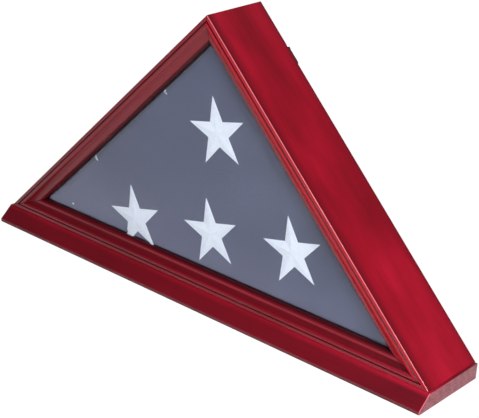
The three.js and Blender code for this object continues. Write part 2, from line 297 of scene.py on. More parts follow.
def rail_section(arris, set_back):
    """The moulding's section as depth and inset: the outer face, the back and its rebate, the lip, then the front."""
    return [
        *bend((set_back + arris, 0), (set_back, 0), (set_back - arris * 0.25, arris), 5)[::-1], (set_back + arris, 0),
        (4, 0), (8, 0), (14, 0), (24, 0), (76, 0), (84, 0),
        (back - 0.5, 0), *bend((back - 0.5, 0), (back, 0), (back, 0.5), 4),
        (back, land - 0.3), (back - 0.3, land), (floor_of_rebate, land), (floor_of_rebate, inner), (lip, inner),
        (lip, sight), (8.4, sight), *bend((8.4, sight), (7.7, sight), (7.2, sight - 0.7), 3),
        (4.9, 19.7), *bend((4.9, 19.7), (4.6, 19.4), (4.6, 18.9), 3), (4.6, 17.4), (4.5, 16.2),
        *bend((4.5, 16.2), (3.9, 12.9), (1.6, 10.6), 10),
        *bend((1.6, 10.6), (0.1, 9.7), (0.1, 7.6), 8), (0.1, 6.1), *bend((0.1, 6.1), (0.15, 5.3), (1.1, 5.1), 6),
        *bend((1.1, 5.1), (1.5, 4.75), (1.1, 4.4), 4), *bend((1.1, 4.4), (0.3, 4.2), (0.35, 3.6), 4),
        (set_back * 0.85, arris + 0.35),
    ]


def rail_tone_and_painted_light(side, d, n):
    """Painted shade on the left and bottom rails and their coves, in the quirk, under the lip and inside the case;
    darker tone towards the front and back edges of the outer face; below 0 painted light on the right rail's front, and
    -1 a painted highlight along its arris.
    """
    if side == "right" and 0.1 < n < 0.6:
        return -1.0
    if side == "right" and 0.6 <= n < 16 and d < 5 and not 4.1 < n < 5.7:
        return -0.4
    if n < 0.01:
        return max(0.95 - d / 14, 0.0) if d < 50 else max(0.6 - (back - d) / 14, 0.0)
    if d > 20 or n > sight - 0.9:
        return 1.6
    if 4.1 < n < 5.9:
        return 1.1
    return SIDE_PAINTED_SHADE[side] + (COVE_PAINTED_SHADE[side] if 10.6 < n < 16 else 0.0)


for side, (corner, degrees, length, start_angle, end_angle) in SIDES.items():
    rail = stick(rail_section(*((0.35, 0.5) if side == "bottom" else (ARRIS / mm, 0.9))), length,
                 lambda d, n, side=side: rail_tone_and_painted_light(side, d, n))
    mitre(rail, 0, start_angle, 1)
    mitre(rail, length, end_angle, -1)
    made(f"rail_{side}", rail, RAIL_LACQUER[side], "case", [f"{side}_rail"], side_place(side))

# ---- Plinth ----
# One board under the frame, a little longer than it. The front falls in a shallow cove to a thin nose, and the ends
# are sawn square, where the stain and lacquer sink into the open end grain and dry pale and dull.
plinth_low, plinth_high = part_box("base_plinth")
top, nose = level / mm - 0.08, plinth_low.y / mm
plinth_back = plinth_high.y / mm
END_GRAIN_DARK, END_GRAIN_PALE = (0.13, 0.024, 0.034, 1), (0.45, 0.12, 0.15, 1)
PLINTH_END, PLINTH_ARRIS, PAINTED_HIGHLIGHT_REACH = 1.2 * mm, 0.5 * mm, 0.45 * mm
BORE_RADIUS, BORE_FOOT, BORE_TOP = 5 * mm, -2 * mm, 8.5 * mm
ROUND_STEPS = 32
SCREW_HOLES = [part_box(f"base_screw_{i}") for i in range(1, 5)]


def end_grain_lacquer():
    """Sawn end grain with pores and faint rings, half filled by the lacquer."""
    material, tree, shader = new_material("cherry_end_grain")
    place = node(tree, "ShaderNodeTexCoord")
    rings = node(tree, "ShaderNodeTexWave", {
        "Vector": place.outputs["Object"], "Scale": 26.0, "Distortion": 5.0, "Detail": 3.0, "Detail Scale": 2.0},
        wave_type="RINGS", rings_direction="X")
    pores = node(tree, "ShaderNodeTexNoise", {
        "Vector": place.outputs["Object"], "Scale": 750.0, "Detail": 3.0, "Roughness": 0.7})
    mixed = node(tree, "ShaderNodeMix", {
        "Factor": 0.93, "A": rings.outputs["Fac"], "B": pores.outputs["Fac"]}, data_type="FLOAT")
    colour = ramp(tree, mixed.outputs["Result"], [(0.36, END_GRAIN_DARK), (0.62, END_GRAIN_PALE)])
    tree.links.new(colour, shader.inputs["Base Color"])
    rough = node(tree, "ShaderNodeBump", {"Height": pores.outputs["Fac"], "Strength": 0.35, "Distance": 0.2 * mm})
    tree.links.new(rough.outputs["Normal"], shader.inputs["Normal"])
    shader.inputs["Roughness"].default_value = 0.55
    shader.inputs["Coat Weight"].default_value = 0.35
    shader.inputs["Coat Roughness"].default_value = 0.3
    return material


def cylinder(radius, start, end):
    """A closed round bar from start to end."""
    bm = bmesh.new()
    axis = Vector(end) - Vector(start)
    place = Matrix.Translation((Vector(start) + Vector(end)) / 2) @ axis.to_track_quat("Z", "Y").to_matrix().to_4x4()
    bmesh.ops.create_cone(bm, cap_ends=True, segments=ROUND_STEPS, radius1=radius, radius2=radius,
                          depth=axis.length, matrix=place)
    return bm


def joined(*parts):
    """Several bmeshes in one."""
    whole = bmesh.new()
    for part in parts:
        mesh = bpy.data.meshes.new("part")
        part.to_mesh(mesh)
        part.free()
        whole.from_mesh(mesh)
        bpy.data.meshes.remove(mesh)
    return whole


def cut_away(bm, cutter):
    """The first bmesh with the second cut out of it."""
    meshes = [bpy.data.meshes.new("body"), bpy.data.meshes.new("cutter")]
    for part, mesh in zip((bm, cutter), meshes):
        part.to_mesh(mesh)
        part.free()
    body, tool = [bpy.data.objects.new(mesh.name, mesh) for mesh in meshes]
    for obj in (body, tool):
        scene.collection.objects.link(obj)
    modifier = body.modifiers.new("cut", "BOOLEAN")
    modifier.object, modifier.operation, modifier.solver = tool, "DIFFERENCE", "EXACT"
    result = bmesh.new()
    result.from_object(body, bpy.context.evaluated_depsgraph_get())
    for obj, mesh in zip((body, tool), meshes):
        bpy.data.objects.remove(obj)
        bpy.data.meshes.remove(mesh)
    return result


plinth_section = [
    (plinth_back - 0.6, 0), (plinth_back, 0.6), (plinth_back, top - 0.6), (plinth_back - 0.6, top), (0.2, top),
    *bend((0.2, top), (-0.7, top), (-1.3, top - 0.8), 5),
    *bend((-1.3, top - 0.8), (-8.6, top - 7.8), (nose + 0.6, 4.6), 10),
    *bend((nose + 0.6, 4.6), (nose, 4.1), (nose, 3.4), 4), (nose, 1.3), (nose, 0.5),
    *bend((nose, 0.5), (nose, 0), (nose + 0.5, 0), 3),
]


def plinth_tone_and_painted_shade(d, z):
    """Painted shadow under the nose and painted shade on the underside; darker on the back, a little darker on top, and
    darker further down the front.
    """
    if d > 1:
        return 0.5 if z < 1 or d > plinth_back - 1 else 0.2
    return 1.6 if z < 1 else 0.6 if z < 4.8 else min(max((top - 1 - z) / 5, 0.1), 0.6)


plinth = stick(plinth_section, plinth_high.x - plinth_low.x, plinth_tone_and_painted_shade)
bmesh.ops.translate(plinth, vec=(plinth_low.x, 0, 0), verts=plinth.verts)
for end in (plinth_low.x + PLINTH_END, plinth_high.x - PLINTH_END):
    bmesh.ops.bisect_plane(plinth, geom=[*plinth.verts, *plinth.edges, *plinth.faces], plane_co=(end, 0, 0),
                           plane_no=(1, 0, 0))
rounded(plinth, [e for f in plinth.faces if abs(f.normal.x) > 0.9 for e in f.edges], PLINTH_ARRIS, 3)
for face in plinth.faces:
    face.material_index = int(abs(face.normal.x) > 0.98)
# A painted highlight on the front arris of the plinth's right end.
shade_of = plinth.verts.layers.float["tone_and_painted_light"]
for v in plinth.verts:
    if v.co.y < 0 and v.co.x > plinth_high.x - PAINTED_HIGHLIGHT_REACH:
        v[shade_of] = -1.0
bores = [cylinder(BORE_RADIUS, (low.x / 2 + high.x / 2, low.y / 2 + high.y / 2, BORE_FOOT),
                  (low.x / 2 + high.x / 2, low.y / 2 + high.y / 2, BORE_TOP)) for low, high in SCREW_HOLES]
plinth = cut_away(plinth, joined(*bores))
made("plinth", plinth, [RAIL_LACQUER["bottom"], end_grain_lacquer()], "case", ["base_plinth"])


# ---- Steel fixings ----
# The plinth's countersunk screws sit in counterbores underneath, the V-nails pull the mitres together from the
# back edge, and a pair of brads holds each glass stop. All are bright zinc-plated steel.
def metal(name, colour, roughness, scratch=0.2):
    """Plated metal with fine random scratches and slow staining."""
    material, tree, shader = new_material(name)
    place = node(tree, "ShaderNodeTexCoord")
    stain = node(tree, "ShaderNodeTexNoise", {
        "Vector": place.outputs["Object"], "Scale": 420.0, "Detail": 4.0, "Roughness": 0.6})
    shade = ramp(tree, stain.outputs["Fac"], [
        (0.3, (*(c * 0.72 for c in colour), 1)), (0.7, (*colour, 1))])
    tree.links.new(shade, shader.inputs["Base Color"])
    wear_and_painted_light = node(tree, "ShaderNodeMapRange", {
        "Value": stain.outputs["Fac"], "To Min": roughness * 1.4, "To Max": roughness * 0.8})
    tree.links.new(wear_and_painted_light.outputs["Result"], shader.inputs["Roughness"])
    fine = node(tree, "ShaderNodeTexNoise", {
        "Vector": place.outputs["Object"], "Scale": 3200.0, "Detail": 2.0})
    bump = node(tree, "ShaderNodeBump", {"Height": fine.outputs["Fac"], "Strength": scratch, "Distance": 0.03 * mm})
    tree.links.new(bump.outputs["Normal"], shader.inputs["Normal"])
    shader.inputs["Metallic"].default_value = 1.0
    return material


def turned(profile):
    """A profile of radius and height in millimetres, spun round Z into a closed solid."""
    bm = bmesh.new()
    line = [bm.verts.new((r * mm, 0, z * mm)) for r, z in profile]
    edges = [bm.edges.new(pair) for pair in zip(line, line[1:])]
    bmesh.ops.spin(bm, geom=[*line, *edges], axis=(0, 0, 1), cent=(0, 0, 0), angle=2 * math.pi,
                   steps=ROUND_STEPS, use_merge=True)
    bmesh.ops.remove_doubles(bm, verts=bm.verts, dist=1e-6)
    bmesh.ops.recalc_face_normals(bm, faces=bm.faces)
    return bm


def with_recess(bm, head_top, size, deep):
    """The screw with a cross-shaped driver recess cut into its head, tapering inwards."""
    for quarter in (0, math.pi / 2):
        bar = bmesh.new()
        bmesh.ops.create_cube(bar, size=1)
        bmesh.ops.scale(bar, vec=(size * mm, 0.22 * size * mm, 2 * deep * mm), verts=bar.verts)
        bmesh.ops.translate(bar, vec=(0, 0, head_top * mm), verts=bar.verts)
        low = [v for v in bar.verts if v.co.z < head_top * mm]
        bmesh.ops.scale(bar, vec=(0.55, 0.7, 1), verts=low)
        bmesh.ops.rotate(bar, cent=(0, 0, 0), matrix=Matrix.Rotation(quarter, 3, "Z"), verts=bar.verts)
        bm = cut_away(bm, bar)
    return bm


STEEL = metal("zinc_steel", (0.62, 0.63, 0.65), 0.34)
NICKEL = metal("satin_nickel", (0.70, 0.67, 0.61), 0.26, 0.12)

for i, (low, high) in enumerate(SCREW_HOLES, 1):
    tall = (high.z - low.z) / mm
    screw = turned([(0, 0), (1.4, 3), (1.6, 6), (1.9, tall - 4.2), (1.9, tall - 3), (3.9, tall - 0.25),
                    (3.9, tall - 0.05), (3.7, tall), (0, tall)])
    screw = with_recess(screw, tall, 4.2, 1.6)
    middle = (low + high) / 2
    place = Matrix.Translation((middle.x, middle.y, high.z)) @ Matrix.Rotation(math.pi, 4, "X")
    made(f"plinth_screw_{i}", screw, STEEL, "case", [f"base_screw_{i}"], place)

V_NAIL_LEG, V_NAIL_THICK, V_NAIL_INSET, V_NAIL_PROUD = 4.0, 0.8, 4.5 * mm, 0.08 * mm
for corner_name, side in (("left", "bottom"), ("right", "right"), ("apex", "left")):
    low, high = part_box(f"v_nail_{corner_name}")
    reach, web = V_NAIL_LEG * math.sqrt(0.5), V_NAIL_THICK * math.sqrt(0.5)
    outline = [(-web, 0), (reach - web / 2, -reach - web / 2), (reach + web / 2, -reach + web / 2), (web, 0),
               (reach + web / 2, reach - web / 2), (reach - web / 2, reach + web / 2)]
    nail = bmesh.new()
    ring = [nail.verts.new((x * mm, 0, z * mm)) for x, z in outline]
    pushed_out(nail, nail.faces.new(ring), (0, depth + V_NAIL_PROUD - low.y, 0))
    bmesh.ops.translate(nail, vec=(0, low.y, 0), verts=nail.verts)
    soften(nail, 0.08 * mm, 1)
    half_angle = SIDES[side][3] / 2
    place = (side_place(side) @ Matrix.Translation((V_NAIL_INSET / math.tan(half_angle), 0, V_NAIL_INSET))
             @ Matrix.Rotation(-half_angle, 4, "Y"))
    made(f"mitre_nail_{corner_name}", nail, STEEL, "case", [f"v_nail_{corner_name}"], place)

for side in SIDES:
    for i in (1, 2):
        frame["nodes"][f"stop_brad_{side}_{i}"].data.materials.clear()
        frame["nodes"][f"stop_brad_{side}_{i}"].data.materials.append(STEEL)


# ---- Glass and its stops ----
# A triangle of clear float glass behind the lip, held by three planed strips bradded to the boards. The strips are
# stained, with no lacquer over the stain, and painted near black with the shade that falls inside the case.
def stained_wood(name, degrees, dark, pale):
    """Planed wood with stain alone: streaks along the grain and a dry surface."""
    material, tree, shader = new_material(name)
    place = node(tree, "ShaderNodeTexCoord")
    along = node(tree, "ShaderNodeMapping", {
        "Vector": place.outputs["Object"], "Rotation": (0, -math.radians(degrees), 0)}, vector_type="POINT")
    wood = node(tree, "ShaderNodeGroup", node_tree=WOOD_GRAIN)
    tree.links.new(along.outputs["Vector"], wood.inputs["Vector"])
    tree.links.new(ramp(tree, wood.outputs["Streak"], [(0.32, dark), (0.68, pale)]), shader.inputs["Base Color"])
    bump = node(tree, "ShaderNodeBump", {"Height": wood.outputs["Streak"], "Strength": 0.3, "Distance": 0.15 * mm})
    tree.links.new(bump.outputs["Normal"], shader.inputs["Normal"])
    shader.inputs["Roughness"].default_value = 0.72
    return material


# The strips' colours hold painted shade: far darker than the frame's stain.
for side in SIDES:
    strip = frame["nodes"][f"glass_stop_{side}"]
    strip.data.materials.clear()
    strip.data.materials.append(stained_wood(
        f"stain_and_shade_strip_{side}", SIDES[side][1], (0.028, 0.010, 0.013, 1), (0.062, 0.018, 0.024, 1)))


def float_glass():
    """Clear glass that light and shadow pass straight through, with a faint smear in its shine."""
    material, tree, shader = new_material("float_glass")
    shader.inputs["Base Color"].default_value = (0.97, 0.985, 0.98, 1)
    shader.inputs["Roughness"].default_value = 0.02
    shader.inputs["IOR"].default_value = 1.5
    shader.inputs["Transmission Weight"].default_value = 1.0
    path = node(tree, "ShaderNodeLightPath")
    clear = node(tree, "ShaderNodeBsdfTransparent", {"Color": (0.93, 0.95, 0.94, 1)})
    mix = node(tree, "ShaderNodeMixShader", {0: path.outputs["Is Shadow Ray"]})
    tree.links.new(shader.outputs["BSDF"], mix.inputs[1])
    tree.links.new(clear.outputs["BSDF"], mix.inputs[2])
    tree.links.new(mix.outputs["Shader"], tree.nodes["Material Output"].inputs["Surface"])
    return material


pane = frame["nodes"]["glass_pane"]
pane.data.materials.clear()
pane.data.materials.append(float_glass())

# ---- Folded flag ----
# A cotton flag folded over and over into a tight triangle with its blue field outside, and pressed against the
# glass. The layers show as soft ribs round its sides, and behind, the last turn is tucked in as a flap.
flag_low, flag_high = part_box("folded_flag")
FLAG_BLUE_DEEP, FLAG_BLUE = (0.056, 0.064, 0.125, 1), (0.078, 0.088, 0.168, 1)
# The paler blue is painted light: the cloth is painted paler towards the lower left of its foot.
FLAG_PAINTED_LIGHT = (0.125, 0.128, 0.225, 1)
FLAG_SLOPE_INSET, FLAG_FOOT_INSET, FLAG_STEP = 20.0 * mm, 20.3 * mm, 21.6 * mm
FLAG_FACE = flag_low.y + 1.0 * mm
FLAG_TURNS, TURN_ROUND, FRONT_ROUND = 7, 4.0 * mm, 1.6 * mm
PUFF_VOXEL, PUFF_PRESSURE, PUFF_CAP, PUFF_FRAMES = 4.6 * mm, 4.0, 2.2 * mm, 20
CREASE_DEEP = 0.55 * mm
FLAG_CORNER = 6 * mm
# How far above the foot the painted light on the cloth reaches, and how much at most.
PAINTED_LIGHT_TOP, PAINTED_LIGHT_MOST = 0.1, 0.7


def plain_weave():
    """Two sets of threads crossing over and under each other, as a height that turns with the surface."""
    tree, ins, outs = group("plain_weave", [
        ("Vector", "NodeSocketVector", (0, 0, 0)), ("Threads", "NodeSocketFloat", 7000.0)],
        [("Height", "NodeSocketFloat")])
    split = node(tree, "ShaderNodeSeparateXYZ", {"Vector": ins.outputs["Vector"]})
    waves = []
    for axis in ("X", "Z"):
        both = node(tree, "ShaderNodeMath", {0: split.outputs[axis], 1: split.outputs["Y"]}, operation="ADD")
        phase = node(tree, "ShaderNodeMath", {0: both.outputs[0], 1: ins.outputs["Threads"]}, operation="MULTIPLY")
        waves.append(node(tree, "ShaderNodeMath", {0: phase.outputs[0]}, operation="SINE").outputs[0])
    product = node(tree, "ShaderNodeMath", {0: waves[0], 1: waves[1]}, operation="MULTIPLY")
    height = node(tree, "ShaderNodeMapRange", {"Value": product.outputs[0], "From Min": -1.0, "From Max": 1.0})
    tree.links.new(height.outputs["Result"], outs.inputs["Height"])
    return tree


def woven_cloth(name, deep, pale, painted_light_colour, threads):
    """Plain-woven cotton with a soft nap, a little uneven, and made paler along the foot and to the left by painted
    light.
    """
    material, tree, shader = new_material(name)
    place = node(tree, "ShaderNodeTexCoord")
    weave = node(tree, "ShaderNodeGroup", node_tree=PLAIN_WEAVE)
    tree.links.new(place.outputs["Object"], weave.inputs["Vector"])
    weave.inputs["Threads"].default_value = threads
    fade = node(tree, "ShaderNodeTexNoise", {
        "Vector": place.outputs["Object"], "Scale": 8.0, "Detail": 4.0, "Roughness": 0.55})
    mixed = node(tree, "ShaderNodeMix", {"Factor": 0.15}, data_type="FLOAT")
    tree.links.new(fade.outputs["Fac"], mixed.inputs[2])
    tree.links.new(weave.outputs["Height"], mixed.inputs[3])
    low_down = node(tree, "ShaderNodeVectorMath", {0: place.outputs["Object"], 1: (0.14, 0, 1)},
                    operation="DOT_PRODUCT")
    painted_light_share = node(tree, "ShaderNodeMapRange", {
        "Value": low_down.outputs["Value"], "From Min": level + PAINTED_LIGHT_TOP, "From Max": level, "To Max": PAINTED_LIGHT_MOST},
        interpolation_type="SMOOTHSTEP")
    tinted = node(tree, "ShaderNodeMix", {"Factor": painted_light_share.outputs["Result"]}, data_type="RGBA")
    tree.links.new(ramp(tree, mixed.outputs[0], [(0.3, deep), (0.7, pale)]), tinted.inputs[6])
    tinted.inputs[7].default_value = painted_light_colour
    tree.links.new(tinted.outputs[2], shader.inputs["Base Color"])
    bump = node(tree, "ShaderNodeBump", {"Height": weave.outputs["Height"], "Strength": 0.1, "Distance": 0.08 * mm})
    tree.links.new(bump.outputs["Normal"], shader.inputs["Normal"])
    shader.inputs["Roughness"].default_value = 0.88
    shader.inputs["Specular IOR Level"].default_value = 0.3
    shader.inputs["Sheen Weight"].default_value = 0.12
    shader.inputs["Sheen Roughness"].default_value = 0.4
    return material


def folded_turn(front, thick, inset, foot, cut=None, rounding=TURN_ROUND):
    """One turn of the flag: a triangle of cloth as thick as its layers, with round folded edges."""
    half = half_span - (foot - level) - (FLAG_SLOPE_INSET + inset) * math.sqrt(2)
    corners = [Vector((-half, foot)), Vector((half, foot)), Vector((0, foot + half))]
    outline = []
    for i, point in enumerate(corners):
        before, after = (corners[i - 1] - point).normalized(), (corners[(i + 1) % 3] - point).normalized()
        outline += [point + before * FLAG_CORNER, point + after * FLAG_CORNER]
    bm = bmesh.new()
    face = bm.faces.new([bm.verts.new((p.x, front, p.y)) for p in outline])
    if cut:
        bmesh.ops.bisect_plane(bm, geom=[*bm.verts, *bm.edges, *bm.faces], clear_outer=True,
                               plane_co=(cut, 0, foot), plane_no=(0.93, 0, 0.37))
        face = next(iter(bm.faces))
    pushed_out(bm, face, (0, thick, 0))
    rims = [e for e in bm.edges if abs(e.verts[0].co.y - e.verts[1].co.y) < thick / 2]
    rounded(bm, rims, min(rounding, thick * 0.46), 3)
    return bm


def held_in_case(point):
    """The nearest place to a point that the boards, the stops and the glass leave for the flag."""
    point = point.copy()
    point.y = min(max(point.y, FLAG_FACE), flag_high.y)
    point.z = max(point.z, level + FLAG_FOOT_INSET if point.y < FLAG_STEP else flag_low.z)
    for sign in (-1, 1):
        inward = Vector((-sign, 0, -1)).normalized()
        inset = (point - Vector((sign * half_span, 0, level))).dot(inward)
        point += inward * max(FLAG_SLOPE_INSET - inset, 0)
    return point


def puffed(bm, name):
    """The bundle remeshed evenly and blown out a little as cloth, then held inside the case."""
    mesh = bpy.data.meshes.new(name)
    bm.to_mesh(mesh)
    bm.free()
    blank = bpy.data.objects.new(name, mesh)
    scene.collection.objects.link(blank)
    remesh = blank.modifiers.new("remesh", "REMESH")
    remesh.mode, remesh.voxel_size = "VOXEL", PUFF_VOXEL
    even = bpy.data.meshes.new_from_object(blank.evaluated_get(bpy.context.evaluated_depsgraph_get()))
    bpy.data.objects.remove(blank)
    cloth_piece = bpy.data.objects.new(name, even)
    scene.collection.objects.link(cloth_piece)
    start = [v.co.copy() for v in even.vertices]
    cloth = cloth_piece.modifiers.new("cloth", "CLOTH")
    cloth.settings.use_pressure = True
    cloth.settings.uniform_pressure_force = PUFF_PRESSURE
    cloth.settings.quality = 4
    cloth.settings.effector_weights.gravity = 0
    for step in range(1, PUFF_FRAMES + 1):
        scene.frame_set(step)
    blown = cloth_piece.evaluated_get(bpy.context.evaluated_depsgraph_get()).data
    ends = [v.co.copy() for v in blown.vertices]
    cloth_piece.modifiers.remove(cloth)
    scene.frame_set(1)
    for v, a, b in zip(even.vertices, start, ends):
        move = b - a
        v.co = held_in_case(a + move * min(1.0, PUFF_CAP / max(move.length, 1e-9)))
    result = bmesh.new()
    result.from_mesh(even)
    bpy.data.objects.remove(cloth_piece)
    bmesh.ops.subdivide_edges(result, edges=result.edges, cuts=1, use_grid_fill=True, smooth=0.6)
    return result


def creased(bm):
    """The front pressed flat on the glass down to its foot, with soft slanting creases, strongest low down."""
    for v in bm.verts:
        if v.co.y < FLAG_FACE + 6 * mm and v.co.z < level + FLAG_FOOT_INSET + 14 * mm:
            v.co.y = FLAG_FACE + (v.co.y - FLAG_FACE) * (0.06 if v.co.y < FLAG_FACE + 4.5 * mm else 0.9)
        if v.co.y < FLAG_FACE + 1.2 * mm:
            x, z = v.co.x, v.co.z
            low_down = 1.15 - min((z - level) / 0.16, 1.0) * 0.75
            across, along = (x * 0.86 + z * 0.51) * 34, (z * 0.86 - x * 0.51) * 7
            fold = noise.noise(Vector((across, along, 2.7))) + 0.5 * noise.noise(Vector((across * 2.1, along * 2, 8.1)))
            broad = noise.noise(Vector((x * 11, z * 11, 5.2)))
            v.co.y += max(0.0, 0.5 + 0.75 * fold + 0.4 * broad) * CREASE_DEEP * low_down


PLAIN_WEAVE = plain_weave()
FLAG_CLOTH = woven_cloth("flag_cotton", FLAG_BLUE_DEEP, FLAG_BLUE, FLAG_PAINTED_LIGHT, 9000.0)
turn_thick = (flag_high.y - 2.5 * mm - FLAG_FACE) / FLAG_TURNS
turns = []
for i in range(FLAG_TURNS):
    front = FLAG_FACE + i * turn_thick
    foot = level + FLAG_FOOT_INSET if front < FLAG_STEP else flag_low.z
    turns.append(folded_turn(front, turn_thick + 0.2 * mm, (1.4 + 1.1 * (i % 2)) * mm if i else 0.3 * mm,
                             foot + ((1.0 + 0.9 * ((i + 1) % 2)) * mm if i else 0.2 * mm),
                             rounding=TURN_ROUND if i else FRONT_ROUND))
turns.append(folded_turn(flag_high.y - 5 * mm, 4.6 * mm, 6 * mm, flag_low.z + 4 * mm, cut=0.06))
bundle_mesh = puffed(joined(*turns), "flag_bundle")
creased(bundle_mesh)
bundle = made("flag_bundle", bundle_mesh, FLAG_CLOTH, "flag", ["folded_flag"], crease=75)

# ---- Embroidered stars ----
# Five-pointed stars worked in white thread on the blue. Each arm is two banks of satin stitch that meet in a ridge.
# Two more show only a point, where the fold carries the rest away under the left rail, and one knot stands alone.
STAR_OUT, STAR_IN = 42.5, 15.8
STAR_RIDGE, STAR_EDGE = 1.45, 0.25
STAR_TURN = 103.6
STARS = {"top": (11.5, 209.3), "middle": (7.9, 86.1), "right": (127.6, 103.3), "left": (-113.2, 65.0)}
POINTS_ONLY = {"upper": (-67.3, 233.5, -27.0), "lower": (-179.5, 119.4, -31.0)}
STAR_SKIRT, FOOT_CLIP, FOLD_CLIP = 0.25 * mm, 0.9 * mm, 3.5 * mm
KNOT, KNOT_RADIUS, KNOT_PROUD = (-224, 49), 1.7 * mm, 0.35 * mm
cloth_face = BVHTree.FromObject(bundle, bpy.context.evaluated_depsgraph_get())


def star_thread():
    """White machine embroidery: close parallel stitches across each bank, from the piece's own stitch map."""
    material, tree, shader = new_material("star_thread")
    place = node(tree, "ShaderNodeUVMap", uv_map="stitch")
    stitches = node(tree, "ShaderNodeTexWave", {
        "Vector": place.outputs["UV"], "Scale": 0.42, "Distortion": 0.7, "Detail": 2.0}, bands_direction="X")
    wear = node(tree, "ShaderNodeTexNoise", {"Vector": place.outputs["UV"], "Scale": 0.22, "Detail": 3.0})
    mixed = node(tree, "ShaderNodeMix", {"Factor": 0.5}, data_type="FLOAT")
    tree.links.new(stitches.outputs["Fac"], mixed.inputs[2])
    tree.links.new(wear.outputs["Fac"], mixed.inputs[3])
    colour = ramp(tree, mixed.outputs[0], [(0.25, STAR_SHADE), (0.6, STAR_WHITE)])
    tree.links.new(colour, shader.inputs["Base Color"])
    bump = node(tree, "ShaderNodeBump", {"Height": stitches.outputs["Fac"], "Strength": 0.4, "Distance": 0.2 * mm})
    tree.links.new(bump.outputs["Normal"], shader.inputs["Normal"])
    shader.inputs["Roughness"].default_value = 0.5
    shader.inputs["Sheen Weight"].default_value = 0.3
    return material


def laid_on_cloth(bm):
    """Lowers a piece made round depth 0 onto the flag's face, point by point."""
    for v in bm.verts:
        hit = cloth_face.ray_cast(Vector((v.co.x, 0, v.co.z)), Vector((0, 1, 0)))[0]
        v.co.y += hit.y if hit and hit.y < FLAG_FACE + 6 * mm else FLAG_FACE


def star(x, z, turn_degrees, hidden_by=None):
    """A ridged star centred at x and z in millimetres, cut off at a plane where a fold hides it."""
    bm = bmesh.new()
    stitch = bm.loops.layers.uv.new("stitch")

    def at(radius, degrees, proud):
        angle = math.radians(degrees)
        return bm.verts.new(((x + radius * math.cos(angle)) * mm, -proud * mm, (z + radius * math.sin(angle)) * mm))

    centre = at(0, 0, STAR_RIDGE)
    tips = [at(STAR_OUT, turn_degrees + 72 * i, STAR_EDGE) for i in range(5)]
    notches = [at(STAR_IN, turn_degrees + 36 + 72 * i, STAR_EDGE) for i in range(5)]
    for i in range(5):
        axis = math.radians(turn_degrees + 72 * i)
        for triangle in ((centre, tips[i], notches[i]), (centre, notches[i - 1], tips[i])):
            for loop in bm.faces.new(triangle).loops:
                dx, dz = loop.vert.co.x / mm - x, loop.vert.co.z / mm - z
                loop[stitch].uv = (dx * math.cos(axis) + dz * math.sin(axis),
                                   -dx * math.sin(axis) + dz * math.cos(axis))
    bmesh.ops.subdivide_edges(bm, edges=bm.edges, cuts=5, use_grid_fill=True)
    bmesh.ops.recalc_face_normals(bm, faces=bm.faces)
    skirt = bmesh.ops.extrude_edge_only(bm, edges=[e for e in bm.edges if e.is_boundary])
    for v in skirt["geom"]:
        if isinstance(v, bmesh.types.BMVert):
            v.co.y = STAR_SKIRT
    if hidden_by:
        point, normal = hidden_by
        bmesh.ops.bisect_plane(bm, geom=[*bm.verts, *bm.edges, *bm.faces], dist=1e-7, clear_inner=True,
                               plane_co=point, plane_no=normal)
    laid_on_cloth(bm)
    bmesh.ops.recalc_face_normals(bm, faces=bm.faces)
    if sum((f.normal.y * f.calc_area() for f in bm.faces)) > 0:
        bmesh.ops.reverse_faces(bm, faces=bm.faces)
    return bm


STAR_SHADE, STAR_WHITE = (0.56, 0.60, 0.76, 1), (0.82, 0.86, 0.98, 1)
STAR_THREAD = star_thread()
foot_fold = Vector((0, 0, level + FLAG_FOOT_INSET + FOOT_CLIP)), Vector((0, 0, 1))
for name, (x, z) in STARS.items():
    made(f"star_{name}", star(x, z, STAR_TURN, foot_fold), STAR_THREAD, "flag", crease=5)
fold_normal = Vector((1, 0, -1)).normalized()
fold_point = Vector((-half_span, 0, level)) + fold_normal * (FLAG_SLOPE_INSET + FOLD_CLIP)
for name, (tip_x, tip_z, points_at) in POINTS_ONLY.items():
    away = math.radians(points_at)
    part = star(tip_x - STAR_OUT * math.cos(away), tip_z - STAR_OUT * math.sin(away), points_at,
                (fold_point, fold_normal))
    made(f"star_point_{name}", part, STAR_THREAD, "flag", crease=5)
knot = bmesh.new()
bmesh.ops.create_icosphere(knot, subdivisions=2, radius=KNOT_RADIUS, calc_uvs=False)
knot.loops.layers.uv.new("stitch")
bmesh.ops.scale(knot, vec=(1, 0.35, 0.8), verts=knot.verts)
bmesh.ops.translate(knot, vec=(KNOT[0] * mm, -KNOT_PROUD, KNOT[1] * mm), verts=knot.verts)
laid_on_cloth(knot)
made("thread_knot", knot, STAR_THREAD, "flag", crease=80)

# ---- Back panel ----
# A triangle of brown hardboard that drops into the rebate. Its outer face is smooth and slightly shiny.
panel_low, panel_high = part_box("back_panel")
PANEL_INSET, PANEL_CORNER, PANEL_ARRIS = 9.6 * mm, 5 * mm, 0.35 * mm


def hardboard():
    """Pressed fibre: a mottled brown with flecks, smooth but not polished."""
    material, tree, shader = new_material("hardboard")
    place = node(tree, "ShaderNodeTexCoord")
    mottle = node(tree, "ShaderNodeTexNoise", {
        "Vector": place.outputs["Object"], "Scale": 38.0, "Detail": 5.0, "Roughness": 0.65})
    fibre = node(tree, "ShaderNodeTexNoise", {
        "Vector": place.outputs["Object"], "Scale": 900.0, "Detail": 3.0, "Roughness": 0.6})
    mixed = node(tree, "ShaderNodeMix", {
        "Factor": 0.45, "A": mottle.outputs["Fac"], "B": fibre.outputs["Fac"]}, data_type="FLOAT")
    colour = ramp(tree, mixed.outputs["Result"], [(0.3, (0.085, 0.045, 0.026, 1)), (0.7, (0.19, 0.108, 0.062, 1))])
    tree.links.new(colour, shader.inputs["Base Color"])
    bump = node(tree, "ShaderNodeBump", {"Height": fibre.outputs["Fac"], "Strength": 0.2, "Distance": 0.1 * mm})
    tree.links.new(bump.outputs["Normal"], shader.inputs["Normal"])
    shader.inputs["Roughness"].default_value = 0.48
    return material


